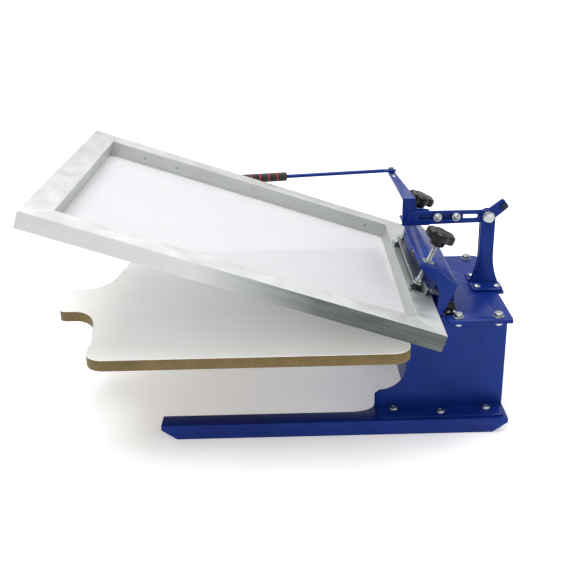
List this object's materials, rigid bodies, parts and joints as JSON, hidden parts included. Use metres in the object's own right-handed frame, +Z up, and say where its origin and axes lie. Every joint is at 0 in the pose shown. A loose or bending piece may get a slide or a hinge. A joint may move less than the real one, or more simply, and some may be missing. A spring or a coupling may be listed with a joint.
{
  "type": "screen printing press",
  "caption": "Tabletop screen printing press: folded steel base, laminated pallet, sprung screen clamp holding an aluminium mesh frame, and a pull-down lever with a foam grip.",
  "frame": {"origin": "on the surface the rails stand on, under the middle of the whole press as stored; the press's own centre plane is at Y = -14.7 mm and the screen's hinge axis at X = 259 mm", "axes": "+X from the operator to the back of the press, +Y to the operator's left (the side of the lever's handle), +Z up; the screen is stored tilted open by 19 degrees"},
  "size_m": [0.744, 0.5372, 0.4161],
  "materials": {
    "blue_paint": "semi-gloss powder coat",
    "zinc": "bright zinc plate",
    "galvanised": "dull galvanised",
    "black_paint": "satin black",
    "black_plastic": "satin moulded",
    "rubber": "matte",
    "foam": "matte foam sleeve",
    "board": "bare board edge",
    "laminate": "smooth off-white laminate",
    "frame_aluminium": "brushed tube",
    "mesh": "stretched polyester mesh",
    "ring_red": "matte"
  },
  "bodies": {
    "base": {"rail_near": "blue_paint", "rail_far": "blue_paint", "side_plate_near": "blue_paint", "side_plate_far": "blue_paint", "front_panel": "blue_paint", "rear_panel": "blue_paint", "top_plate": "blue_paint", "pallet_tray": "blue_paint", "tray_bolts": "zinc", "pallet_board": "board", "pallet_laminate": "laminate", "pallet_screws": "zinc", "rail_bolts": "zinc", "rail_nuts": "zinc", "top_bolts": "zinc", "top_nuts": "zinc", "hinge_lug_near": "black_paint", "hinge_lug_far": "black_paint", "lug_screws": "zinc", "lift_spring_near": "galvanised", "lift_spring_far": "galvanised", "post_near": "blue_paint", "post_far": "blue_paint", "post_bolts": "zinc", "post_nuts": "zinc", "pivot_bolt": "zinc", "pivot_nut": "zinc"},
    "screen_carrier": {"hinge_shaft": "black_paint", "clamp_hood": "blue_paint", "clamp_jaw": "blue_paint", "hinge_ear_near": "blue_paint", "hinge_ear_far": "blue_paint", "clamp_washers": "zinc", "clamp_nuts": "zinc", "pad_spring_near": "galvanised", "pad_spring_far": "galvanised", "spring_pins": "black_paint"},
    "press_bar": {"pressure_bar": "galvanised", "pressure_feet": "rubber", "pressure_pads": "galvanised"},
    "near_screw": {"clamp_screw_near": "zinc", "knob_near": "black_plastic"},
    "far_screw": {"clamp_screw_far": "zinc", "knob_far": "black_plastic"},
    "screen_frame": {"frame_bar_near": "frame_aluminium", "frame_bar_far": "frame_aluminium", "frame_bar_front": "frame_aluminium", "frame_bar_rear": "frame_aluminium", "screen_mesh": "mesh"},
    "lever": {"lever_arm": "blue_paint", "tail_bumper": "rubber"},
    "cross_bracket": {"lever_bracket": "blue_paint", "arm_screws": "zinc", "arm_nuts": "zinc", "rod_bolt": "zinc", "rod_nut": "zinc"},
    "handle": {"handle_rod": "blue_paint", "foam_grip": "foam", "grip_rings": "ring_red"}
  },
  "joints": [
    {"name": "screen_tilt", "type": "hinge", "parent": "base", "child": "screen_carrier", "pos_m": [0.259, -0.0147, 0.202], "axis": [0, 1, 0], "range_deg": [-19, 31], "stiffness_Nm_per_rad": 12, "springref_deg": 24.06},
    {"name": "clamp_travel", "type": "slide", "parent": "screen_carrier", "child": "press_bar", "axis": [0.3955, 0, 0.9184], "range_m": [0, 0.0025]},
    {"name": "near_knob_spin", "type": "hinge", "parent": "press_bar", "child": "near_screw", "pos_m": [0.21112, -0.1157, 0.24171], "axis": [0.3955, 0, 0.9184], "range_deg": [0, 721]},
    {"name": "far_knob_spin", "type": "hinge", "parent": "press_bar", "child": "far_screw", "pos_m": [0.21112, 0.0863, 0.24171], "axis": [0.3955, 0, 0.9184], "range_deg": [0, 721]},
    {"name": "frame_slide", "type": "slide", "parent": "screen_carrier", "child": "screen_frame", "axis": [-0.9455, 0, 0.3256], "range_m": [0, 0.045]},
    {"name": "lever_swing", "type": "hinge", "parent": "base", "child": "lever", "pos_m": [0.339, -0.0057, 0.31], "axis": [0, 1, 0], "range_deg": [0, 85]},
    {"name": "bracket_slide", "type": "slide", "parent": "lever", "child": "cross_bracket", "axis": [1, 0, 0], "range_m": [-0.02, 0]},
    {"name": "handle_swivel", "type": "hinge", "parent": "cross_bracket", "child": "handle", "pos_m": [0.2095, 0.25455, 0.3194], "axis": [0, 0.0837, 0.9965], "range_deg": [-30, 0]}
  ],
  "couplings": [
    {"joint": "near_knob_spin", "follows": "clamp_travel", "rad_per_m": 5026.5},
    {"joint": "far_knob_spin", "follows": "clamp_travel", "rad_per_m": 5026.5}
  ]
}
